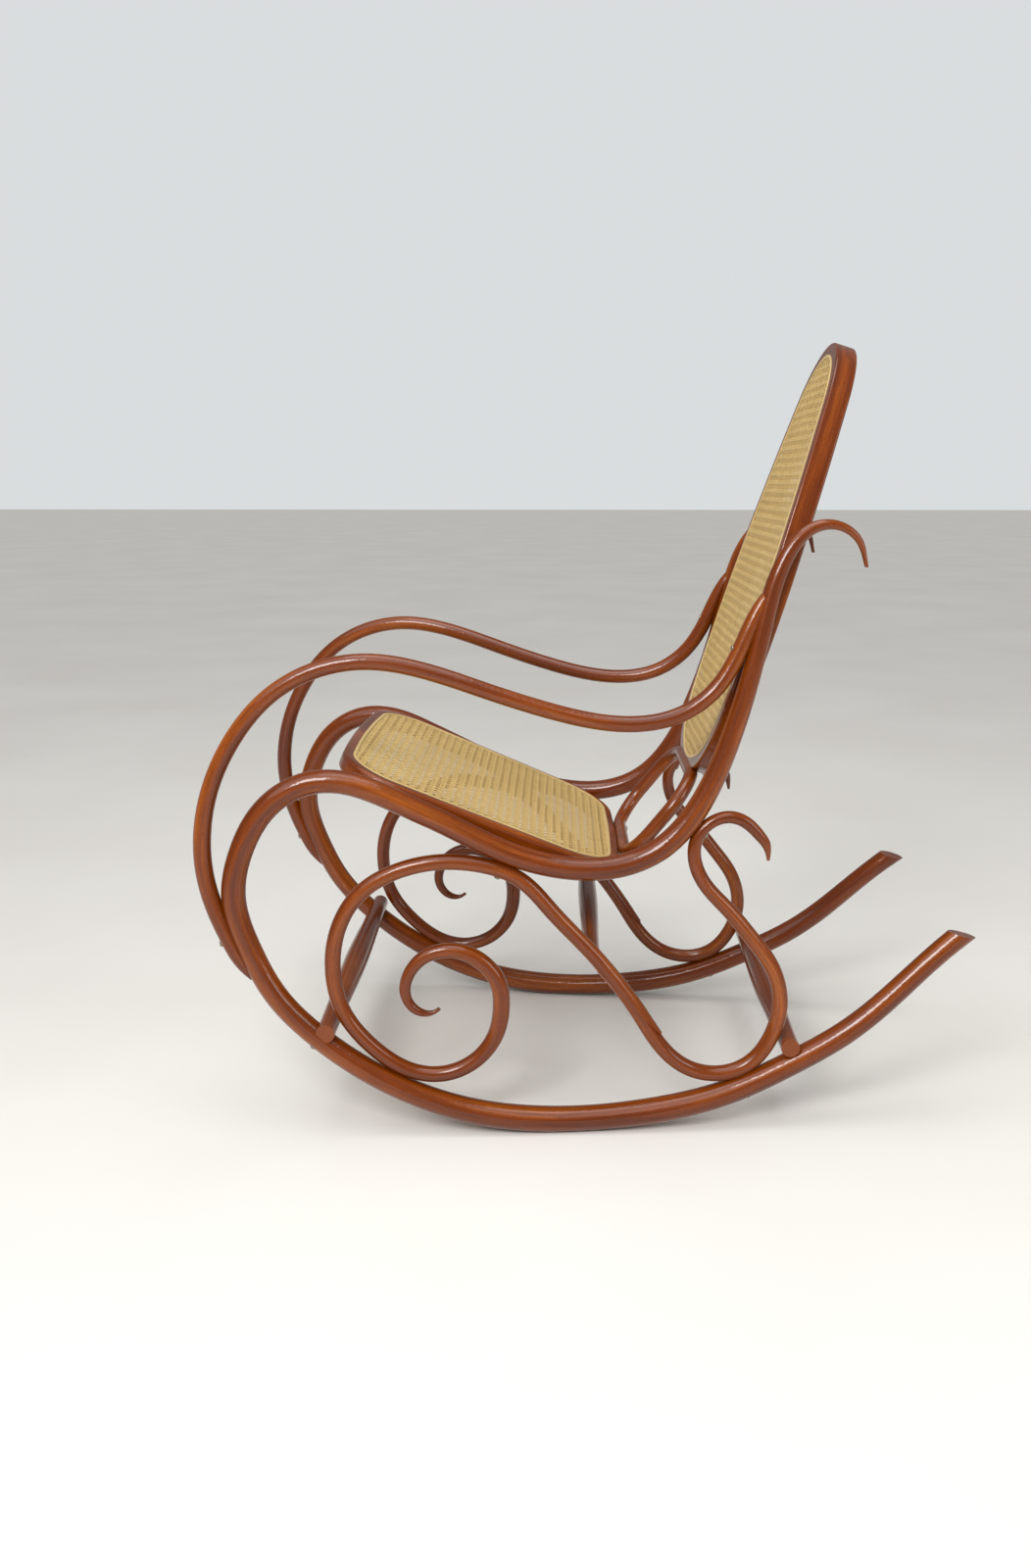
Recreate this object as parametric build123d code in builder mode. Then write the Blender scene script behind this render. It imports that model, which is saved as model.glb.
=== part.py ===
from build123d import *
import os

# Bentwood rocking chair with woven cane seat and back.
# Millimetres.  X is the width, -Y the front, +Y the back, +Z up.
# The origin is on the floor under the middle of the chair.

# ---------------------------------------------------------------- side frames
# The rods of one side frame lie in one plane, which leans inwards with
# height and closes in towards the back.
HALF_SPACING = 246
SPLAY = 0.075
LEAN = 0.05
SIDE_NORMAL = Vector(1, SPLAY, LEAN)

# Each rod is a list of stations (y, z, diameter) along its centre line.
RAIL = [
    (552, 315, 30), (500, 267, 31), (453, 223, 31), (407, 178, 32), (358, 138, 33),
    (285, 95, 34), (192, 52, 35), (94, 28, 36), (-4, 18.5, 35), (-84, 19.5, 36), (-167, 33, 35),
    (-246, 61, 34), (-318, 101, 33), (-382, 151, 32), (-432, 207, 32), (-465, 273, 32),
    (-484, 343, 33), (-471, 412, 32), (-436, 469, 32), (-380, 501, 32), (-322, 499, 32),
    (-271, 479, 32), (-196, 443, 32), (-113, 402, 32), (-34, 381, 32), (37, 383, 32),
    (93, 407, 32), (139, 458, 31), (172, 526, 29), (200, 613, 27), (219, 694, 25),
    (235, 763, 23), (253, 804, 20), (283, 833, 16), (318, 835, 12), (345, 814, 9),
    (355, 782, 5),
]
ARM = [
    (-463, 231, 6), (-471, 244, 14), (-480, 260, 20), (-492, 286, 23), (-508, 326, 24),
    (-521, 378, 24), (-523, 422, 24),
    (-511, 490, 23), (-478, 560, 23), (-425, 620, 22), (-368, 651, 22), (-307, 662, 22),
    (-230, 651, 22), (-142, 622, 22), (-61, 596, 22), (-3, 582, 22), (48, 577, 22),
    (109, 587, 22), (157, 619, 22), (188, 667, 22), (209, 717, 20), (224, 745, 14),
]
FRONT_SCROLL = [
    (-209, 184, 5), (-223, 177, 8), (-238, 180, 12), (-255, 202, 15), (-251, 233, 17),
    (-229, 258, 19), (-193, 267, 21), (-155, 253, 23), (-129, 221, 24), (-124, 184, 24),
    (-132, 144, 23), (-163, 105, 22), (-209, 88, 22), (-254, 96, 22), (-303, 131, 22),
    (-340, 180, 22), (-354, 242, 22), (-346, 298, 22), (-316, 348, 22), (-268, 378, 22),
    (-211, 391, 22), (-153, 387, 22), (-98, 365, 22), (-54, 319, 22), (-3, 264, 22),
    (37, 215, 23), (71, 165, 25), (101, 120, 26), (108, 112, 26),
]
REAR_SCROLL = [
    (-3, 264, 22), (37, 215, 22), (71, 165, 22), (101, 120, 22), (136, 91, 22),
    (175, 81, 22), (220, 93, 22), (253, 134, 22), (264, 187, 22), (250, 237, 22),
    (220, 279, 22), (188, 318, 21), (156, 353, 20), (140, 386, 19), (141, 419, 18),
    (159, 441, 17), (182, 449, 17), (208, 441, 17), (230, 419, 15), (240, 388, 4),
]

# The slanted glue joint between the two scrolls, as seen from the side (y, z).
SCARF_TOP = (10, 234)
SCARF_BOTTOM = (97, 142)
SCARF_BLOCK = 60

# The rocker tail is sliced off to a point along the line through these (y, z).
TAIL_CUT_TOP = (499, 283)
TAIL_CUT_TIP = (533, 275)
TAIL_BLOCK = 120

# ------------------------------------------------------------------ stretchers
# The front and rear ones lap over the rockers; the middle one is tenoned
# into the two front scrolls.
FRONT_STRETCHER_AT = (-364, 156)
REAR_STRETCHER_AT = (279, 123)
MIDDLE_STRETCHER_AT = (0, 261)
STRETCHER_END_D = 26
STRETCHER_BELLY_D = 36
STRETCHER_OVERHANG = 16
MIDDLE_END_D = 22
MIDDLE_BELLY_D = 29
TENON_D = 13
TENON_REACH = 5

# ------------------------------------------------------------------------ seat
SEAT_SLOPE = 0.41
SEAT_HEIGHT = 385
SEAT_FRONT = -380
SEAT_REAR = 47
SEAT_FRONT_HALF = 232
SEAT_REAR_HALF = 209
SEAT_FRONT_RADIUS = 82
SEAT_REAR_RADIUS = 88
SEAT_EDGE_BOW = 11
SEAT_THICKNESS = 24
SEAT_RIM = 14
SEAT_EDGE_RADIUS = 6
SEAT_PLANE = Plane((0, 0, SEAT_HEIGHT), x_dir=(1, 0, 0), z_dir=(0, SEAT_SLOPE, 1))

# ------------------------------------------------------------------------ back
BACK_SLOPE = 0.314
BACK_FOOT_Y = 139.6
BACK_FOOT_Z = 475
# Radius and degrees of each arc, from the middle of the foot up the left side.
# A last arc closes the crown.
BACK_ARCS = [(261, 22), (120, 56), (580, 22), (1360, 10)]
BACK_DEPTH = 30
BACK_RIM = 17
BACK_EDGE_RADIUS = 3
BACK_PLANE = Plane(
    (0, BACK_FOOT_Y, BACK_FOOT_Z), x_dir=(1, 0, 0), z_dir=(0, -1, BACK_SLOPE)
)

# ------------------------------------------------------------------------ cane
FRAME_WIDTH = 34
GROOVE_WIDTH = 4.5
GROOVE_DEPTH = 5
CANE_THICKNESS = 1.4
REED_PROUD = 0.8

# ------------------------------------------------------------------------ hoop
# A closed ring: its lower bar meets the seat's rear edge and its upper bar is
# let half-way into the foot of the back frame.
HOOP_D = 20
HOOP_HALF = 126
HOOP_RADIUS = 60
HOOP_FOOT = (50.6, 360.4)
HOOP_TOP = (145.2, 479.6)
HOOP_RISE = Vector(0, *HOOP_TOP) - Vector(0, *HOOP_FOOT)
HOOP_PLANE = Plane((0, *HOOP_FOOT), x_dir=(1, 0, 0), z_dir=Vector(1, 0, 0).cross(HOOP_RISE))

# --------------------------------------------------------------------- screws
SCREW_D = 4
SCREW_HEAD_D = 8.5
SCREW_HEAD_DEPTH = 3.5
SCREW_HEAD_PROUD = 1.5
SCREW_HEAD_WALL = 1

# Each pair is the middle of a head and the point.  First those in the left
# side frame's plane, as (y, z).
ARM_SCREWS = [
    ((-503, 281), (-460, 299)),
    ((181, 676), (226, 685)),
    ((200, 714), (234, 723)),
]
SCROLL_SCREWS = [
    ((-288, 65), (-264, 108)),
    ((-130, 369), (-112, 411)),
    ((224, 46), (203, 91)),
    ((153, 423), (122, 447)),
]
STRETCHER_SCREWS = [
    ((-384, 131), (-359, 162)),
    ((296, 84), (277, 128)),
]
# Then those in the seat's and the back's own planes, starting inside the frames.
SEAT_FRAME_SCREWS = [
    ((192, -265, -14), (238, -265, -14)),
    ((181, -60, -14), (226, -60, -14)),
]
BACK_FRAME_SCREWS = [
    ((149.5, 205, -15), (196, 205, -15)),
    ((147.5, 280, -15), (190, 280, -15)),
]
HOOP_TO_SEAT_SCREWS = [((50, 65.5, 0), (50, 32.5, -12))]
HOOP_TO_BACK_SCREWS = [((45, 6, -30), (45, 6, 2))]


def side_point(y, z):
    """A point of the left side frame's plane."""
    return Vector(HALF_SPACING - SPLAY * y - LEAN * z, y, z)


def bent_rod(stations):
    """A steam-bent rod, round all along, through its stations."""
    with BuildPart() as rod:
        with BuildLine() as path:
            centre_line = Spline(*[side_point(y, z) for y, z, _ in stations])
        for y, z, diameter in stations:
            at = centre_line.param_at_point(side_point(y, z))
            with BuildSketch(Plane(centre_line @ at, z_dir=centre_line % at)):
                Circle(diameter / 2)
        loft()
    return rod.part


def screw(head, tip):
    """A raised-head wood screw from the surface it is driven into to its point."""
    along = tip - head
    cone_end = SCREW_HEAD_WALL + SCREW_HEAD_DEPTH
    with BuildPart() as made:
        with BuildSketch(Plane.XZ):
            with BuildLine():
                Polyline(
                    (0, -SCREW_HEAD_PROUD),
                    (SCREW_HEAD_D / 2 - SCREW_HEAD_WALL, -SCREW_HEAD_PROUD),
                    (SCREW_HEAD_D / 2, SCREW_HEAD_WALL - SCREW_HEAD_PROUD),
                    (SCREW_HEAD_D / 2, SCREW_HEAD_WALL),
                    (SCREW_D / 2, cone_end),
                    (SCREW_D / 2, along.length - 2 * SCREW_D),
                    (0, along.length),
                    close=True,
                )
            make_face()
        revolve(axis=Axis.Z)
    return Plane(head, z_dir=along).location * made.part


def side_screws(points):
    """Screws in the left side frame's plane, from (y, z) head to (y, z) point."""
    return [screw(side_point(*head), side_point(*tip)) for head, tip in points]


def plane_screws(plane, points):
    """Screws given by the ends of each in a plane's own coordinates."""
    return [
        screw(plane.from_local_coords(head), plane.from_local_coords(tip))
        for head, tip in points
    ]


def both_sides(screws):
    """A group of screws with their mirror images, as one part of loose solids."""
    with BuildPart() as group:
        add(screws)
        mirror(about=Plane.YZ)
    return group


def stretcher(at, overhang, end_d, belly_d):
    """A turned rail across the chair, swelling in the middle.

    It ends an overhang outside the side frames' planes.
    """
    reach = side_point(*at).X + overhang
    with BuildPart() as turned:
        with BuildSketch(Plane((0, *at))):
            with BuildLine():
                swell = Spline(
                    (-reach, end_d / 2),
                    (0, belly_d / 2),
                    (reach, end_d / 2),
                    tangents=((1, 0), (1, 0)),
                )
                Polyline(swell @ 1, (reach, 0), (-reach, 0), swell @ 0)
            make_face()
        revolve(axis=Axis((0, *at), (1, 0, 0)))
    return turned.part


def seat_outline():
    """Rounded trapezoid of the seat frame, in the seat's own plane."""
    front_y = SEAT_FRONT + SEAT_EDGE_BOW
    rear_y = SEAT_REAR - SEAT_EDGE_BOW / 2
    with BuildSketch() as outline:
        with BuildLine():
            front = ThreePointArc(
                (-SEAT_FRONT_HALF, front_y), (0, SEAT_FRONT), (SEAT_FRONT_HALF, front_y)
            )
            rear = ThreePointArc(
                (SEAT_REAR_HALF, rear_y), (0, SEAT_REAR), (-SEAT_REAR_HALF, rear_y)
            )
            Line(front @ 1, rear @ 0)
            Line(rear @ 1, front @ 0)
        make_face()
        fillet(outline.vertices().group_by(Axis.Y)[0], SEAT_FRONT_RADIUS)
        fillet(outline.vertices().group_by(Axis.Y)[-1], SEAT_REAR_RADIUS)
    return outline.sketch


def back_outline():
    """Long egg shape of the back frame, narrow end up, in the back's own plane."""
    end, heading, turned = (0, 0), Vector(1, 0), 0
    with BuildSketch() as outline:
        with BuildLine():
            for radius, degrees in BACK_ARCS:
                arc = JernArc(end, heading, radius, degrees)
                end, heading, turned = arc @ 1, arc % 1, turned + degrees
            JernArc(end, heading, end.X / heading.Y, 180 - turned)
            mirror(about=Plane.YZ)
        make_face()
    return outline.sketch


def slab(outline, plane, inset, bottom, top):
    """The outline drawn in by an inset and filled from bottom to top."""
    with BuildPart() as made:
        with BuildSketch(plane.offset(bottom)):
            add(outline)
            if inset:
                offset(amount=-inset)
        extrude(amount=top - bottom)
    return made.part


def ring(outline, plane, insets, bottom, top):
    """The band of the outline between two insets, from bottom to top."""
    with BuildPart() as made:
        add(slab(outline, plane, insets[0], bottom, top))
        add(slab(outline, plane, insets[1], bottom, top), mode=Mode.SUBTRACT)
    return made.part


def grooved_frame(outline, plane, thickness, rim, edge_radius):
    """A bent frame whose face is stepped down and grooved for the cane."""
    groove = (rim, rim + GROOVE_WIDTH)
    with BuildPart() as frame:
        add(slab(outline, plane, 0, -thickness, 0))
        faces = frame.faces().sort_by(Axis(plane.origin, plane.z_dir))
        fillet(faces[0].edges() + faces[-1].edges(), edge_radius)
        add(slab(outline, plane, FRAME_WIDTH, -thickness, 0), mode=Mode.SUBTRACT)
        add(slab(outline, plane, rim, -CANE_THICKNESS, 0), mode=Mode.SUBTRACT)
        add(ring(outline, plane, groove, -GROOVE_DEPTH, 0), mode=Mode.SUBTRACT)
    return frame.part


def cane_spline(outline, plane, rim):
    """The reed strip that wedges the cane into its groove, with a rounded top."""
    with BuildPart() as strip:
        add(ring(outline, plane, (rim, rim + GROOVE_WIDTH), -GROOVE_DEPTH, REED_PROUD))
        top = strip.faces().sort_by(Axis(plane.origin, plane.z_dir))[-1]
        fillet(top.edges(), REED_PROUD)
    return strip.part


# =============================================================== loose screws
left_arm_screws = side_screws(ARM_SCREWS)
left_scroll_screws = side_screws(SCROLL_SCREWS)
left_stretcher_screws = side_screws(STRETCHER_SCREWS)
left_seat_screws = plane_screws(SEAT_PLANE, SEAT_FRAME_SCREWS)
left_back_screws = plane_screws(BACK_PLANE, BACK_FRAME_SCREWS)
left_hoop_screws = plane_screws(SEAT_PLANE, HOOP_TO_SEAT_SCREWS)
left_hoop_screws += plane_screws(BACK_PLANE, HOOP_TO_BACK_SCREWS)
left_screws = (
    left_arm_screws
    + left_scroll_screws
    + left_stretcher_screws
    + left_seat_screws
    + left_back_screws
)
arm_screws = both_sides(left_arm_screws)
scroll_screws = both_sides(left_scroll_screws)
stretcher_screws = both_sides(left_stretcher_screws)
seat_frame_screws = both_sides(left_seat_screws)
back_frame_screws = both_sides(left_back_screws)
hoop_screws = both_sides(left_hoop_screws)

# ================================================================== side rails
with BuildPart() as left_side_rail:
    add(bent_rod(RAIL))
    tail_slope = side_point(*TAIL_CUT_TIP) - side_point(*TAIL_CUT_TOP)
    tail_cut = Plane(
        side_point(*TAIL_CUT_TIP), x_dir=tail_slope, z_dir=SIDE_NORMAL.cross(tail_slope)
    )
    with Locations(tail_cut):
        Box(
            TAIL_BLOCK,
            TAIL_BLOCK,
            TAIL_BLOCK,
            align=(Align.CENTER, Align.CENTER, Align.MIN),
            mode=Mode.SUBTRACT,
        )
    add(left_screws, mode=Mode.SUBTRACT)
with BuildPart() as right_side_rail:
    add(mirror(left_side_rail.part, about=Plane.YZ))
both_rails = [left_side_rail.part, right_side_rail.part]

# ==================================================================== armrests
with BuildPart() as left_armrest:
    add(bent_rod(ARM))
    add([left_side_rail.part, *left_arm_screws], mode=Mode.SUBTRACT)
with BuildPart() as right_armrest:
    add(mirror(left_armrest.part, about=Plane.YZ))

# ===================================================================== scrolls
scarf = side_point(*SCARF_BOTTOM) - side_point(*SCARF_TOP)
scarf_plane = Plane(side_point(*SCARF_TOP), x_dir=scarf, z_dir=SIDE_NORMAL.cross(scarf))


def scarf_box(start, end, low, high):
    """A block along the scarf joint, its bottom and top measured from the joint."""
    with BuildPart() as block:
        with Locations(scarf_plane.offset(low)):
            with Locations((start, 0, 0)):
                Box(
                    end - start,
                    2 * SCARF_BLOCK,
                    high - low,
                    align=(Align.MIN, Align.CENTER, Align.MIN),
                )
    return block.part


with BuildPart() as tenon:
    with Locations(Location((0, *MIDDLE_STRETCHER_AT), (0, 90, 0))):
        Cylinder(TENON_D / 2, 2 * (side_point(*MIDDLE_STRETCHER_AT).X + TENON_REACH))
middle_tenon = tenon.part

with BuildPart() as left_front_scroll:
    add(bent_rod(FRONT_SCROLL))
    add(
        [
            scarf_box(0, scarf.length, -SCARF_BLOCK, 0),
            scarf_box(scarf.length, scarf.length + SCARF_BLOCK, -SCARF_BLOCK, SCARF_BLOCK),
            left_side_rail.part,
            *left_scroll_screws,
            middle_tenon,
        ],
        mode=Mode.SUBTRACT,
    )
with BuildPart() as right_front_scroll:
    add(mirror(left_front_scroll.part, about=Plane.YZ))

with BuildPart() as left_rear_scroll:
    add(bent_rod(REAR_SCROLL))
    add(
        [
            scarf_box(0, scarf.length, 0, SCARF_BLOCK),
            scarf_box(-SCARF_BLOCK, 0, -SCARF_BLOCK, SCARF_BLOCK),
            left_side_rail.part,
            *left_scroll_screws,
        ],
        mode=Mode.SUBTRACT,
    )
with BuildPart() as right_rear_scroll:
    add(mirror(left_rear_scroll.part, about=Plane.YZ))

# ================================================================== stretchers
with BuildPart() as front_stretcher:
    add(stretcher(FRONT_STRETCHER_AT, STRETCHER_OVERHANG, STRETCHER_END_D, STRETCHER_BELLY_D))
    add([*both_rails, stretcher_screws.part], mode=Mode.SUBTRACT)
with BuildPart() as rear_stretcher:
    add(stretcher(REAR_STRETCHER_AT, STRETCHER_OVERHANG, STRETCHER_END_D, STRETCHER_BELLY_D))
    add([*both_rails, stretcher_screws.part], mode=Mode.SUBTRACT)
with BuildPart() as middle_stretcher:
    add(stretcher(MIDDLE_STRETCHER_AT, 0, MIDDLE_END_D, MIDDLE_BELLY_D))
    add(middle_tenon)
    add([left_front_scroll.part, right_front_scroll.part], mode=Mode.SUBTRACT)

# ======================================================================== hoop
with BuildPart() as back_hoop:
    with BuildLine(HOOP_PLANE) as hoop_path:
        FilletPolyline(
            (0, 0),
            (HOOP_HALF, 0),
            (HOOP_HALF, HOOP_RISE.length),
            (0, HOOP_RISE.length),
            radius=HOOP_RADIUS,
        )
    with BuildSketch(Plane(hoop_path.line @ 0, z_dir=hoop_path.line % 0)):
        Circle(HOOP_D / 2)
    sweep()
    mirror(about=Plane.YZ)
    add(hoop_screws.part, mode=Mode.SUBTRACT)

# ======================================================================== seat
seat_shape = seat_outline()
with BuildPart() as seat_frame:
    add(grooved_frame(seat_shape, SEAT_PLANE, SEAT_THICKNESS, SEAT_RIM, SEAT_EDGE_RADIUS))
    add([*both_rails, back_hoop.part, seat_frame_screws.part, hoop_screws.part], mode=Mode.SUBTRACT)
with BuildPart() as seat_cane:
    add(slab(seat_shape, SEAT_PLANE, SEAT_RIM + GROOVE_WIDTH, -CANE_THICKNESS, 0))
with BuildPart() as seat_cane_spline:
    add(cane_spline(seat_shape, SEAT_PLANE, SEAT_RIM))

# ======================================================================== back
back_shape = back_outline()
with BuildPart() as back_frame:
    add(grooved_frame(back_shape, BACK_PLANE, BACK_DEPTH, BACK_RIM, BACK_EDGE_RADIUS))
    add([*both_rails, back_hoop.part, back_frame_screws.part, hoop_screws.part], mode=Mode.SUBTRACT)
with BuildPart() as back_cane:
    add(slab(back_shape, BACK_PLANE, BACK_RIM + GROOVE_WIDTH, -CANE_THICKNESS, 0))
with BuildPart() as back_cane_spline:
    add(cane_spline(back_shape, BACK_PLANE, BACK_RIM))

# ======================================================================= files
pieces = {
    "left_side_rail": left_side_rail,
    "right_side_rail": right_side_rail,
    "left_armrest": left_armrest,
    "right_armrest": right_armrest,
    "left_front_scroll": left_front_scroll,
    "right_front_scroll": right_front_scroll,
    "left_rear_scroll": left_rear_scroll,
    "right_rear_scroll": right_rear_scroll,
    "front_stretcher": front_stretcher,
    "rear_stretcher": rear_stretcher,
    "middle_stretcher": middle_stretcher,
    "seat_frame": seat_frame,
    "seat_cane": seat_cane,
    "seat_cane_spline": seat_cane_spline,
    "back_frame": back_frame,
    "back_cane": back_cane,
    "back_cane_spline": back_cane_spline,
    "back_hoop": back_hoop,
    "arm_screws": arm_screws,
    "scroll_screws": scroll_screws,
    "stretcher_screws": stretcher_screws,
    "seat_frame_screws": seat_frame_screws,
    "back_frame_screws": back_frame_screws,
    "hoop_screws": hoop_screws,
}
os.makedirs("parts", exist_ok=True)
for name, piece in pieces.items():
    piece.part.label = name
    export_step(piece.part, f"parts/{name}.step")
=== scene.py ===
import math
import random

import bpy
import numpy as np
from mathutils import Matrix, Vector
from mathutils.kdtree import KDTree


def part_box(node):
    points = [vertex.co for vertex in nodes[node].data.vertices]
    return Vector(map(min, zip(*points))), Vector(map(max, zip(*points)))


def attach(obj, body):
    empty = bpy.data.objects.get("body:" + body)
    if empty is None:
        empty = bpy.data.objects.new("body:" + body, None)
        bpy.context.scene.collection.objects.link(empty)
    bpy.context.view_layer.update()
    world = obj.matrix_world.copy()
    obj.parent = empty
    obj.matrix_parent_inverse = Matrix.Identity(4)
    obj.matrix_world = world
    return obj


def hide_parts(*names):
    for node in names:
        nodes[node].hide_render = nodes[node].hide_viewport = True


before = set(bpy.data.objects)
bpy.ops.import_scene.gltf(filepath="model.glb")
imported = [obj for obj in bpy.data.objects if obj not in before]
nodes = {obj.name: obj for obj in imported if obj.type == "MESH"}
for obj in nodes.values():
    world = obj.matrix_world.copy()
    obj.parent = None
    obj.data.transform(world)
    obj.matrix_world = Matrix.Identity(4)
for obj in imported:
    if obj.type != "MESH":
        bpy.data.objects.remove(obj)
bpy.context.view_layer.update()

# Bentwood rocking chair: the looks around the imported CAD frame.  Metres.
# X is the width, -Y the front, +Z up, and the sitter's left is +X.

scene = bpy.context.scene

# ------------------------------------------------------------------- geometry
# The side frames' plane is x = HALF_SPACING - SPLAY * y - LEAN * z.
HALF_SPACING, SPLAY, LEAN = 0.246, 0.075, 0.05

# Centre lines of the bent rods in that plane, as (y, z) in millimetres.  They
# only steer the grain: the rods' shapes are the frame's own.
RAIL = [
    (552, 315), (500, 267), (453, 223), (407, 178), (358, 138), (285, 95), (192, 52),
    (94, 28), (-4, 18), (-84, 19), (-167, 33), (-246, 61), (-318, 101), (-382, 151),
    (-432, 207), (-465, 273), (-484, 343), (-471, 412), (-436, 469), (-380, 501),
    (-322, 499), (-271, 479), (-196, 443), (-113, 402), (-34, 381), (37, 383), (93, 407),
    (139, 458), (172, 526), (200, 613), (219, 694), (235, 763), (253, 804), (283, 833),
    (318, 835), (345, 814), (355, 782),
]
ARM = [
    (-463, 231), (-471, 244), (-480, 260), (-492, 286), (-508, 326), (-521, 378),
    (-523, 422), (-511, 490), (-478, 560), (-425, 620), (-368, 651), (-307, 662),
    (-230, 651), (-142, 622), (-61, 596), (-3, 582), (48, 577), (109, 587), (157, 619),
    (188, 667), (209, 717), (224, 745),
]
FRONT_SCROLL = [
    (-209, 184), (-223, 177), (-238, 180), (-255, 202), (-251, 233), (-229, 258),
    (-193, 267), (-155, 253), (-129, 221), (-124, 184), (-132, 144), (-163, 105),
    (-209, 88), (-254, 96), (-303, 131), (-340, 180), (-354, 242), (-346, 298),
    (-316, 348), (-268, 378), (-211, 391), (-153, 387), (-98, 365), (-54, 319),
    (-3, 264), (37, 215), (71, 165), (101, 120), (108, 112),
]
REAR_SCROLL = [
    (-3, 264), (37, 215), (71, 165), (101, 120), (136, 91), (175, 81), (220, 93),
    (253, 134), (264, 187), (250, 237), (220, 279), (188, 318), (156, 353), (140, 386),
    (141, 419), (159, 441), (182, 449), (208, 441), (230, 419), (240, 388),
]


class Sheet:
    """A flat part's plane: its origin, and its across, up and outward directions."""

    def __init__(self, origin, up, outward):
        self.origin = np.array(origin)
        self.across = np.array((1.0, 0.0, 0.0))
        self.up = np.array(up) / np.linalg.norm(up)
        self.outward = np.array(outward) / np.linalg.norm(outward)

    def local(self, points):
        """The across, up and outward coordinates of points."""
        from_origin = np.asarray(points) - self.origin
        return from_origin @ np.array((self.across, self.up, self.outward)).T

    def world(self, across, up, outward):
        """Points from their across, up and outward coordinates."""
        return (
            self.origin
            + np.outer(across, self.across)
            + np.outer(up, self.up)
            + np.outer(outward, self.outward)
        )


SEAT_SLOPE, SEAT_HEIGHT = 0.41, 0.385
BACK_SLOPE, BACK_FOOT = 0.314, (0, 0.1396, 0.475)
SEAT = Sheet((0, 0, SEAT_HEIGHT), (0, 1, -SEAT_SLOPE), (0, SEAT_SLOPE, 1))
BACK = Sheet(BACK_FOOT, (0, BACK_SLOPE, 1), (0, -1, BACK_SLOPE))
NEARLY_ZERO = 1e-9
FAR = 9.0


def vertices(node):
    """The vertices of a CAD node as an array of rows."""
    mesh = nodes[node].data
    found = np.zeros(len(mesh.vertices) * 3, np.float32)
    mesh.vertices.foreach_get("co", found)
    return found.reshape(-1, 3).astype(float)


def hull(points):
    """The convex hull of 2-D points, anticlockwise."""
    ordered = sorted(map(tuple, np.round(points, 5)))

    def chain(sequence):
        side = []
        for p in sequence:
            while len(side) > 1 and (
                (side[-1][0] - side[-2][0]) * (p[1] - side[-2][1])
                - (side[-1][1] - side[-2][1]) * (p[0] - side[-2][0])
            ) <= NEARLY_ZERO:
                side.pop()
            side.append(p)
        return side[:-1]

    return np.array(chain(ordered) + chain(ordered[::-1]))


def clip(outline, start, direction, spare, shortest):
    """Where a line enters and leaves a convex outline grown by a little."""
    low, high = -FAR, FAR
    for a, b in zip(outline, np.roll(outline, -1, axis=0)):
        edge = b - a
        inward = np.array((-edge[1], edge[0])) / np.hypot(*edge)
        depth = (start - a) @ inward + spare
        rate = direction @ inward
        if abs(rate) < NEARLY_ZERO:
            if depth < 0:
                return None
        elif rate > 0:
            low = max(low, -depth / rate)
        else:
            high = min(high, -depth / rate)
    return (low, high) if high - low > shortest else None


# ------------------------------------------------------------------ materials
SCREEN_GAMMA = 2.2


def linear(red, green, blue):
    """A colour as the shader takes it, from 0 to 255 screen values."""
    return tuple((c / 255) ** SCREEN_GAMMA for c in (red, green, blue)) + (1,)


class Shader:
    """Builds a node material around one Principled shader."""

    def __init__(self, name):
        self.material = bpy.data.materials.new(name)
        self.material.use_nodes = True
        self.tree = self.material.node_tree
        self.principled = self.tree.nodes["Principled BSDF"]

    def fill(self, socket, value):
        """Links a socket to another one, or sets its constant."""
        if isinstance(value, bpy.types.NodeSocket):
            self.tree.links.new(value, socket)
        else:
            socket.default_value = value

    def add(self, kind, inputs=(), **settings):
        """A node of that kind with its inputs filled."""
        node = self.tree.nodes.new(kind)
        for key, value in settings.items():
            setattr(node, key, value)
        for key, value in dict(inputs).items():
            self.fill(node.inputs[key], value)
        return node

    def attribute(self, name):
        return self.add("ShaderNodeAttribute", attribute_name=name).outputs["Vector"]

    def stretched(self, vector, scale):
        mapping = self.add("ShaderNodeMapping", {"Vector": vector, "Scale": scale})
        return mapping.outputs["Vector"]

    def place(self):
        return self.add("ShaderNodeNewGeometry").outputs["Position"]

    def noise(self, vector, scale, detail, roughness=0.5):
        """Noise with that many waves a metre along each axis of a vector."""
        inputs = {"Scale": 1.0, "Detail": detail, "Roughness": roughness}
        inputs["Vector"] = self.stretched(vector, scale)
        return self.add("ShaderNodeTexNoise", inputs).outputs["Fac"]

    def ramp(self, factor, *stops):
        """A colour band, from each stop's place from 0 to 1 and its colour."""
        node = self.add("ShaderNodeValToRGB", {"Fac": factor})
        band = node.color_ramp
        while len(band.elements) < len(stops):
            band.elements.new(0.5)
        for element, (place, colour) in zip(band.elements, stops):
            element.position = place
            element.color = colour
        return node.outputs["Color"]

    def mix(self, factor, a, b):
        """A colour between a and b.  The node's colour sockets go by number."""
        node = self.add("ShaderNodeMix", data_type="RGBA")
        for socket, value in ((0, factor), (6, a), (7, b)):
            self.fill(node.inputs[socket], value)
        return node.outputs[2]

    def remap(self, value, low, high, start=0.0, end=1.0):
        """The value taken from start and end to low and high."""
        inputs = {"Value": value, "From Min": start, "From Max": end}
        inputs.update({"To Min": low, "To Max": high})
        return self.add("ShaderNodeMapRange", inputs).outputs["Result"]

    def bump(self, height, strength, distance):
        inputs = {"Height": height, "Strength": strength, "Distance": distance}
        return self.add("ShaderNodeBump", inputs).outputs["Normal"]

    def set(self, **inputs):
        """Fills the Principled shader's inputs, with _ for each space in a name."""
        for key, value in inputs.items():
            self.fill(self.principled.inputs[key.replace("_", " ")], value)


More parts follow.
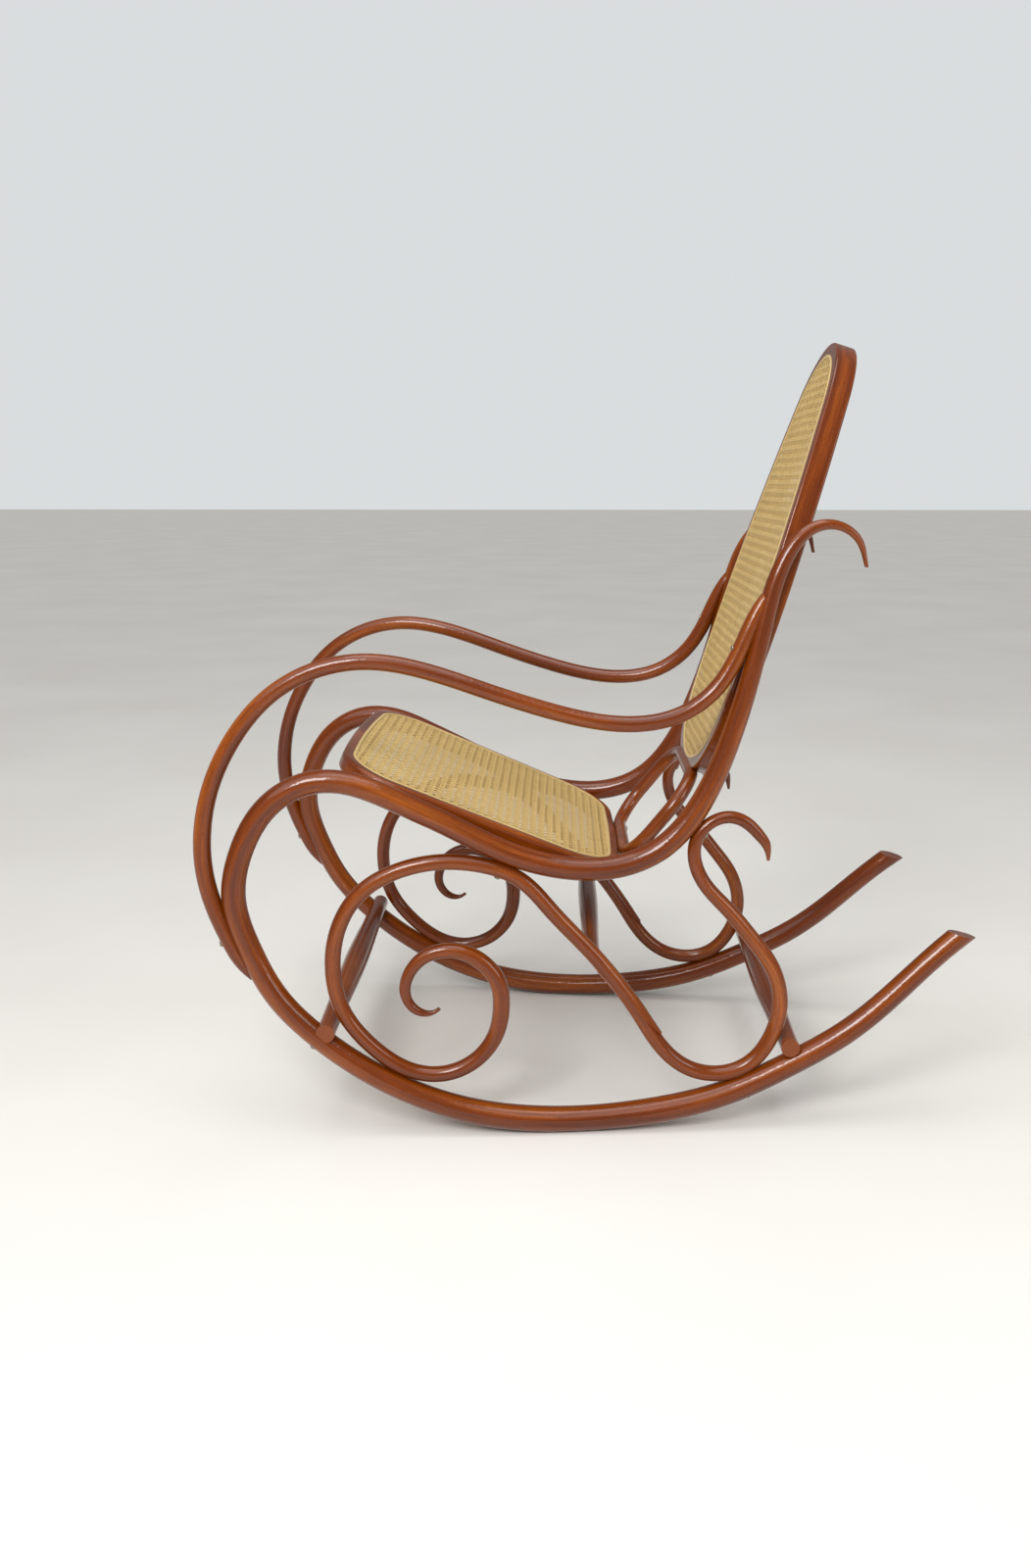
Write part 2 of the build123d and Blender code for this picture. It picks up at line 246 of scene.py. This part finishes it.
def lacquered_beech():
    """Red-brown stained beech under clear gloss; grain runs along each bent rod."""
    s = Shader("lacquered_beech")
    grain = s.attribute("grain")
    place = s.place()
    bands = s.noise(grain, (3, 70, 70), detail=4, roughness=0.6)
    fibres = s.noise(grain, (24, 900, 900), detail=3, roughness=0.6)
    flecks = s.noise(grain, (160, 1500, 1500), detail=1)
    cloud = s.noise(place, (7, 7, 7), detail=3)
    stain = s.ramp(
        bands,
        (0.25, linear(66, 27, 6)),
        (0.5, linear(124, 58, 10)),
        (0.75, linear(176, 94, 23)),
    )
    stain = s.mix(s.remap(fibres, 0, 0.55, 0.35, 0.7), stain, linear(80, 34, 7))
    stain = s.mix(s.remap(flecks, 0, 0.7, 0.62, 0.74), stain, linear(50, 18, 5))
    stain = s.mix(s.remap(cloud, 0.0, 0.5, 0.3, 0.7), stain, linear(90, 38, 8))
    height = s.mix(0.5, fibres, cloud)
    s.set(
        Base_Color=stain,
        Roughness=s.remap(fibres, 0.24, 0.4),
        Normal=s.bump(height, 0.12, 0.0003),
        Specular_IOR_Level=0.15,
        Coat_Weight=0.65,
        Coat_Roughness=0.1,
        Coat_IOR=1.5,
    )
    return s.material


def cane(name, dark, mid, light):
    """Glossy skin of split rattan: long striations, tone differing strand by strand."""
    s = Shader(name)
    run = s.attribute("run")
    parts = s.add("ShaderNodeSeparateXYZ", {"Vector": run})
    place = s.place()
    striae = s.noise(run, (30, 3500, 1), detail=3, roughness=0.6)
    blotch = s.noise(run, (25, 60, 31), detail=2)
    wear = s.noise(place, (14, 14, 14), detail=3)
    tone = s.ramp(parts.outputs["Z"], (0.0, mid), (0.5, light), (1.0, mid))
    tone = s.mix(s.remap(striae, 0, 0.35, 0.4, 0.75), tone, dark)
    tone = s.mix(s.remap(blotch, 0, 0.45, 0.55, 0.75), tone, dark)
    tone = s.mix(s.remap(wear, 0, 0.3, 0.35, 0.7), tone, mid)
    s.set(
        Base_Color=tone,
        Roughness=s.remap(striae, 0.36, 0.55),
        Normal=s.bump(striae, 0.3, 0.0001),
        Sheen_Weight=0.1,
        Sheen_Roughness=0.4,
    )
    return s.material


def screw_steel():
    """Dulled steel with fine turning marks and dark spots."""
    s = Shader("screw_steel")
    place = s.place()
    scratch = s.noise(place, (900, 900, 90), detail=3)
    spots = s.noise(place, (260, 260, 260), detail=2)
    tone = s.ramp(scratch, (0.3, linear(112, 104, 92)), (0.7, linear(168, 160, 146)))
    tone = s.mix(s.remap(spots, 0, 0.8, 0.58, 0.7), tone, linear(62, 52, 42))
    s.set(
        Base_Color=tone,
        Metallic=1.0,
        Roughness=s.remap(scratch, 0.3, 0.5),
        Normal=s.bump(scratch, 0.2, 0.0002),
    )
    return s.material


def pale_floor():
    """Plain pale ground with the faintest unevenness."""
    s = Shader("pale_floor")
    place = s.place()
    cloud = s.noise(place, (1.5, 1.5, 1.5), detail=4)
    tone = s.ramp(cloud, (0.3, linear(222, 219, 214)), (0.7, linear(228, 226, 221)))
    s.set(Base_Color=tone, Roughness=0.6)
    return s.material


WOOD = lacquered_beech()
CANE = cane("woven_cane", linear(146, 112, 56), linear(190, 158, 92), linear(212, 182, 114))
REED = cane("reed", linear(150, 118, 66), linear(200, 172, 112), linear(216, 190, 134))
STEEL = screw_steel()


def give(node, material):
    """Puts a material on a CAD node."""
    obj = nodes[node]
    if not obj.data.materials:
        obj.data.materials.append(material)
    for slot in obj.material_slots:
        slot.material = material


# ------------------------------------------------------ grain along bent wood
ROD_STEP = 0.002
OUTLINE_STEP = 0.004
STRETCHER_POINTS = 200
FRAME_HALF_WIDTH = 0.017
SEAT_HALF_DEPTH = 0.012
BACK_HALF_DEPTH = 0.015
HOOP_RADIUS = 0.01
REED_HALF_WIDTH = 0.002
REED_TONE = 0.4
GRAIN_STEP = 1.7


def smooth_line(points, step=ROD_STEP):
    """A Catmull-Rom line through points, sampled about evenly."""
    p = np.array(points, float)
    p = np.vstack((2 * p[0] - p[1], p, 2 * p[-1] - p[-2]))
    rows = []
    for a, b, c, d in zip(p, p[1:], p[2:], p[3:]):
        count = max(2, int(np.linalg.norm(c - b) / step))
        t = np.linspace(0, 1, count, endpoint=False)[:, None]
        rows.append(
            0.5
            * (
                2 * b
                + (c - a) * t
                + (2 * a - 5 * b + 4 * c - d) * t**2
                + (3 * b - a - 3 * c + d) * t**3
            )
        )
    return np.vstack(rows)


def side_line(stations, side):
    """A rod's centre line in the left side frame, side 1, or the right one, side -1."""
    y, z = np.array(stations, float).T / 1000
    return smooth_line(np.array((side * (HALF_SPACING - SPLAY * y - LEAN * z), y, z)).T)


def outline_line(node, sheet, inset, depth):
    """A frame's middle line: its outline drawn in a little, from the foot round."""
    ring = hull(sheet.local(vertices(node))[:, :2])
    middle = (ring.min(0) + ring.max(0)) / 2
    angle = np.arctan2(ring[:, 0] - middle[0], -(ring[:, 1] - middle[1]))
    ring = ring[np.argsort(angle)]
    reach = np.linalg.norm(ring - middle, axis=1)[:, None]
    ring = middle + (ring - middle) * (1 - inset / reach)
    depths = np.full(len(ring), depth)
    return smooth_line(sheet.world(ring[:, 0], ring[:, 1], depths), OUTLINE_STEP)


def grain_of(points, line):
    """(along, across, across) of points round a rod's centre line, in metres."""
    along = np.r_[0, np.cumsum(np.linalg.norm(np.diff(line, axis=0), axis=1))]
    tangent = np.gradient(line, axis=0)
    tangent /= np.linalg.norm(tangent, axis=1)[:, None]
    tree = KDTree(len(line))
    for i, p in enumerate(line):
        tree.insert(p, i)
    tree.balance()
    near = np.array([tree.find(p)[1] for p in points])
    offset = points - line[near]
    run = along[near] + np.sum(offset * tangent[near], axis=1)
    side = np.cross(tangent[near], (1.0, 0.0, 0.0))
    side /= np.maximum(np.linalg.norm(side, axis=1), 1e-6)[:, None]
    return np.array((run, offset[:, 0], np.sum(offset * side, axis=1))).T


def carry_modifier():
    """A geometry modifier that copies the grain of a hidden twin onto a node."""
    group = bpy.data.node_groups.new("carry_grain", "GeometryNodeTree")
    group.interface.new_socket("Geometry", in_out="INPUT", socket_type="NodeSocketGeometry")
    group.interface.new_socket("Twin", in_out="INPUT", socket_type="NodeSocketObject")
    group.interface.new_socket("Geometry", in_out="OUTPUT", socket_type="NodeSocketGeometry")
    add = group.nodes.new
    start, end = add("NodeGroupInput"), add("NodeGroupOutput")
    twin, index = add("GeometryNodeObjectInfo"), add("GeometryNodeInputIndex")
    named = add("GeometryNodeInputNamedAttribute")
    named.data_type = "FLOAT_VECTOR"
    named.inputs["Name"].default_value = "grain"
    sample = add("GeometryNodeSampleIndex")
    sample.data_type = "FLOAT_VECTOR"
    store = add("GeometryNodeStoreNamedAttribute")
    store.data_type = "FLOAT_VECTOR"
    store.inputs["Name"].default_value = "grain"
    for a, b in (
        (start.outputs["Twin"], twin.inputs["Object"]),
        (twin.outputs["Geometry"], sample.inputs["Geometry"]),
        (named.outputs["Attribute"], sample.inputs["Value"]),
        (index.outputs["Index"], sample.inputs["Index"]),
        (start.outputs["Geometry"], store.inputs["Geometry"]),
        (sample.outputs["Value"], store.inputs["Value"]),
        (store.outputs["Geometry"], end.inputs["Geometry"]),
    ):
        group.links.new(a, b)
    return group


CARRY = carry_modifier()
TWIN_SOCKET = next(i.identifier for i in CARRY.interface.items_tree if i.name == "Twin")


def set_grain(node, grain):
    """Gives a CAD node its grain coordinates and leaves its own mesh untouched."""
    twin_mesh = nodes[node].data.copy()
    twin_mesh.name = "grain_" + node
    layer = twin_mesh.attributes.new("grain", "FLOAT_VECTOR", "POINT")
    layer.data.foreach_set("vector", grain.astype(np.float32).ravel())
    twin = bpy.data.objects.new("grain_" + node, twin_mesh)
    scene.collection.objects.link(twin)
    twin.hide_render = True
    twin.hide_viewport = True
    modifier = nodes[node].modifiers.new("carry_grain", "NODES")
    modifier.node_group = CARRY
    modifier[TWIN_SOCKET] = twin


def stretcher_line(node):
    """The straight middle line of a turned bar."""
    low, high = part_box(node)
    centre = (low + high) / 2
    across = np.linspace(low.x, high.x, STRETCHER_POINTS)
    return np.array([(x, centre.y, centre.z) for x in across])


def hoop_sheet():
    """The plane of the leaning hoop, from the lowest to the highest of its middle line."""
    low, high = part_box("back_hoop")
    foot_y, foot_z = low.y + HOOP_RADIUS, low.z + HOOP_RADIUS
    run = high.y - low.y - 2 * HOOP_RADIUS
    rise = high.z - low.z - 2 * HOOP_RADIUS
    return Sheet((0, foot_y, foot_z), (0, run, rise), (0, -rise, run))


RODS = {
    "side_rail": RAIL,
    "armrest": ARM,
    "front_scroll": FRONT_SCROLL,
    "rear_scroll": REAR_SCROLL,
}
lines = {
    side_name + "_" + rod: side_line(stations, side)
    for rod, stations in RODS.items()
    for side_name, side in (("left", 1), ("right", -1))
}
lines["seat_frame"] = outline_line("seat_frame", SEAT, FRAME_HALF_WIDTH, -SEAT_HALF_DEPTH)
lines["back_frame"] = outline_line("back_frame", BACK, FRAME_HALF_WIDTH, -BACK_HALF_DEPTH)
lines["back_hoop"] = outline_line("back_hoop", hoop_sheet(), HOOP_RADIUS, 0.0)
for node in ("front_stretcher", "middle_stretcher", "rear_stretcher"):
    lines[node] = stretcher_line(node)

# Each piece starts at its own place along the grain, so that no two look alike.
for k, (node, line) in enumerate(sorted(lines.items())):
    grain = grain_of(vertices(node), line)
    grain[:, 0] += GRAIN_STEP * k
    set_grain(node, grain)
    give(node, WOOD)
for joint in ("arm", "scroll", "stretcher", "seat_frame", "back_frame", "hoop"):
    give(joint + "_screws", STEEL)


# ----------------------------------------------------------------- woven cane
# Half-inch cane: the distance from hole to hole, the space between the middles
# of a pair's strands, and the strands' widths and thickness.
PITCH = 0.0127
PAIR_GAP = 0.0052
STRAND = 0.0036
DIAGONAL = 0.0040
THICK = 0.00038
# How far strands rise and dip about the panel's middle, and that middle's depth.
WEAVE_RISE = 0.0002
DIAGONAL_RISE = 0.00058
PANEL_DEPTH = 0.0007
WAVE_STEPS = 10
WAVE_FLATNESS = 1.6
# How far ends go under the reed, and the shortest strand worth weaving.
TUCK = 0.001
SHORTEST = 0.004
# How far strands stray, in waves of so many radians a metre, and how their
# widths vary.
SWAY = 0.00025
SWAY_RATE = (25, 60)
SHIFT = 0.0002
WIDTH_RANGE = (0.9, 1.08)
RUN_RANGE = (0, 5)
# A strand's crowned section, in widths across and thicknesses up.
SECTION = (
    (-0.5, 0.15), (-0.25, 0.45), (0.0, 0.5), (0.25, 0.45), (0.5, 0.15),
    (0.42, -0.5), (-0.42, -0.5),
)


class Ribbons:
    """Collects flat cane strips and makes one mesh of them."""

    def __init__(self, sheet, seed):
        self.sheet = sheet
        self.random = random.Random(seed)
        self.points, self.faces, self.runs = [], [], []
        self.count = 0

    def strip(self, places, heights, width):
        """One strip along 2-D places at those heights above the panel's middle."""
        heading = np.gradient(places, axis=0)
        heading /= np.linalg.norm(heading, axis=1)[:, None]
        side = np.array((-heading[:, 1], heading[:, 0])).T
        width *= self.random.uniform(*WIDTH_RANGE)
        n, m = len(places), len(SECTION)
        along = np.r_[0, np.cumsum(np.linalg.norm(np.diff(places, axis=0), axis=1))]
        along += self.random.uniform(*RUN_RANGE)
        tone = self.random.random()
        rows = np.zeros((n, m, 3))
        runs = np.zeros((n, m, 3))
        for j, (across, rise) in enumerate(SECTION):
            at = places + side * across * width
            rows[:, j] = self.sheet.world(
                at[:, 0], at[:, 1], heights + rise * THICK - PANEL_DEPTH
            )
            runs[:, j] = np.array((along, np.full(n, across * width), np.full(n, tone))).T
        base = self.count
        index = base + np.arange(n * m).reshape(n, m)
        ahead = np.roll(index, -1, axis=1)
        quads = np.stack((index[:-1], ahead[:-1], ahead[1:], index[1:]), axis=-1)
        self.faces += [tuple(q) for q in quads.reshape(-1, 4)]
        self.faces += [tuple(index[0][::-1]), tuple(index[-1])]
        self.points.append(rows.reshape(-1, 3))
        self.runs.append(runs.reshape(-1, 3))
        self.count += n * m

    def build(self, name):
        """One object of all the strips, with where each point is along its strip."""
        mesh = bpy.data.meshes.new(name)
        mesh.from_pydata(np.vstack(self.points).tolist(), [], self.faces)
        layer = mesh.attributes.new("run", "FLOAT_VECTOR", "POINT")
        layer.data.foreach_set("vector", np.vstack(self.runs).astype(np.float32).ravel())
        mesh.shade_smooth()
        obj = bpy.data.objects.new(name, mesh)
        scene.collection.objects.link(obj)
        return obj


def hang(ribbons, name, node):
    """Makes a layer of cane and lets it stand for the plain panel."""
    layer = ribbons.build(name)
    layer.data.materials.append(CANE)
    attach(layer, "root")
    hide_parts(node)


def pair_lines(low, high):
    """The number and place of each strand of the pairs from low to high."""
    for k in range(math.floor(low / PITCH), math.ceil(high / PITCH) + 1):
        for half in (0, 1):
            yield 2 * k + half, k * PITCH + (half - 0.5) * PAIR_GAP


def weave_pairs(ribbons, outline, axis):
    """Strands at set places on one axis, going over and under those across them."""
    low, high = outline.min(0), outline.max(0)
    wander = ribbons.random.uniform
    crossings = list(pair_lines(low[1 - axis], high[1 - axis]))
    direction = np.eye(2)[1 - axis]
    for i, offset in pair_lines(low[axis], high[axis]):
        start = np.eye(2)[axis] * offset
        span = clip(outline, start, direction, TUCK, SHORTEST)
        if not span:
            continue
        knots = [(span[0], 0.0)]
        for j, at in crossings:
            if span[0] < at < span[1]:
                over = 1 if (i + j + axis) % 2 == 0 else -1
                knots.append((at, over * WEAVE_RISE))
                if j % 2:
                    knots.append((at + (PITCH - PAIR_GAP) / 2, 0.0))
        knots = [knot for knot in knots if knot[0] < span[1]] + [(span[1], 0.0)]
        along, heights = np.array(knots).T
        places = start + np.outer(along, direction)
        places[:, axis] += SWAY * np.sin(along * wander(*SWAY_RATE) + wander(0, 6))
        places[:, axis] += wander(-SHIFT, SHIFT)
        ribbons.strip(places, heights, STRAND)


def weave_diagonals(ribbons, outline, slope):
    """Strands at 45 degrees.

    A falling set goes over the uprights and under the crossings, and a rising set the
    other way round.
    """
    size = outline.max(0) - outline.min(0)
    reach = math.ceil((size[0] + size[1]) / PITCH) + 2
    direction = np.array((1.0, slope)) / math.sqrt(2)
    sideways = np.array((-direction[1], direction[0]))
    for n in range(-reach, reach + 1):
        start = np.array((0.0, (n + 0.5) * PITCH))
        span = clip(outline, start, direction, TUCK, SHORTEST)
        if not span:
            continue
        steps = max(4, int((span[1] - span[0]) / (PITCH * math.sqrt(2) / WAVE_STEPS)))
        places = start + np.outer(np.linspace(*span, steps), direction)
        wave = np.clip(WAVE_FLATNESS * np.cos(math.tau * places[:, 0] / PITCH), -1, 1)
        places += sideways * ribbons.random.uniform(-SHIFT, SHIFT)
        ribbons.strip(places, -slope * wave * DIAGONAL_RISE, DIAGONAL)


def weave(node, sheet, seed):
    """Six-way cane in four layers, leaving rows of small eight-sided holes."""
    outline = hull(sheet.local(vertices(node))[:, :2])
    layers = (
        ("uprights", weave_pairs, 0),
        ("crossings", weave_pairs, 1),
        ("over_diagonals", weave_diagonals, -1),
        ("under_diagonals", weave_diagonals, 1),
    )
    for k, (layer, work, way) in enumerate(layers):
        ribbons = Ribbons(sheet, seed + k)
        work(ribbons, outline, way)
        hang(ribbons, node + "_" + layer, node)


weave("seat_cane", SEAT, seed=11)
weave("back_cane", BACK, seed=23)

for node, sheet in (("seat_cane_spline", SEAT), ("back_cane_spline", BACK)):
    line = outline_line(node, sheet, REED_HALF_WIDTH, 0.0)
    grain = grain_of(vertices(node), line)
    grain[:, 2] = REED_TONE
    set_grain(node, grain)
    give(node, REED)

# ---------------------------------------------------------------- surroundings
FLOOR_SIZE = 80
DAYLIGHT_HEADING = (-0.5, 0.25, -1)
DAYLIGHT_STRENGTH = 1.6
DAYLIGHT_SPREAD = math.radians(70)
LIGHTS = (
    # name, place, sides, watts
    ("key", (2.4, -0.9, 2.2), (1.0, 1.0), 55),
    ("overhead", (0.2, 0.0, 3.0), (1.6, 1.6), 20),
    ("fill", (1.6, 2.4, 1.5), (1.0, 1.4), 18),
)
LIGHTS_AIM = Vector((0, 0, 0.5))
CAMERA_PLACE = (1.888, -0.051, 0.892)
CAMERA_FORWARD = (-0.9724, -0.0316, -0.2312)
CAMERA_RIGHT = (-0.0325, 0.9995, 0)
LENS, SENSOR = 29.25, 36


def lay_floor():
    bpy.ops.mesh.primitive_plane_add(size=FLOOR_SIZE)
    floor = bpy.context.object
    floor.name = "floor"
    floor.data.materials.append(pale_floor())


def light_world():
    """Soft even light, with a paler backdrop for the camera to see."""
    world = bpy.data.worlds.new("studio")
    world.use_nodes = True
    scene.world = world
    tree = world.node_tree
    sky = tree.nodes["Background"]
    sky.inputs["Color"].default_value = (0.84, 0.84, 0.83, 1)
    sky.inputs["Strength"].default_value = 0.3
    backdrop = tree.nodes.new("ShaderNodeBackground")
    backdrop.inputs["Color"].default_value = (0.70, 0.72, 0.73, 1)
    seen = tree.nodes.new("ShaderNodeLightPath")
    either = tree.nodes.new("ShaderNodeMixShader")
    output = tree.nodes["World Output"]
    tree.links.new(seen.outputs["Is Camera Ray"], either.inputs[0])
    tree.links.new(sky.outputs[0], either.inputs[1])
    tree.links.new(backdrop.outputs[0], either.inputs[2])
    tree.links.new(either.outputs[0], output.inputs["Surface"])


def hang_light(name, kind, heading):
    """A lamp of that kind shining along a heading."""
    lamp = bpy.data.objects.new(name, bpy.data.lights.new(name, kind))
    scene.collection.objects.link(lamp)
    lamp.rotation_euler = heading.to_track_quat("-Z", "Y").to_euler()
    return lamp


def soft_light(name, place, sides, watts):
    """A rectangular lamp aimed at the chair."""
    lamp = hang_light(name, "AREA", LIGHTS_AIM - Vector(place))
    lamp.location = place
    lamp.data.shape = "RECTANGLE"
    lamp.data.size, lamp.data.size_y = sides
    lamp.data.energy = watts


def set_camera():
    data = bpy.data.cameras.new("camera")
    data.lens = LENS
    data.sensor_width = SENSOR
    camera = bpy.data.objects.new("camera", data)
    scene.collection.objects.link(camera)
    forward = Vector(CAMERA_FORWARD).normalized()
    right = Vector(CAMERA_RIGHT).normalized()
    up = right.cross(forward)
    turn = Matrix((right, up, -forward)).transposed().to_4x4()
    camera.matrix_world = Matrix.Translation(CAMERA_PLACE) @ turn
    scene.camera = camera
    scene.view_settings.view_transform = "Standard"


lay_floor()
light_world()
for light in LIGHTS:
    soft_light(*light)
daylight = hang_light("daylight", "SUN", Vector(DAYLIGHT_HEADING))
daylight.data.energy = DAYLIGHT_STRENGTH
daylight.data.angle = DAYLIGHT_SPREAD
set_camera()
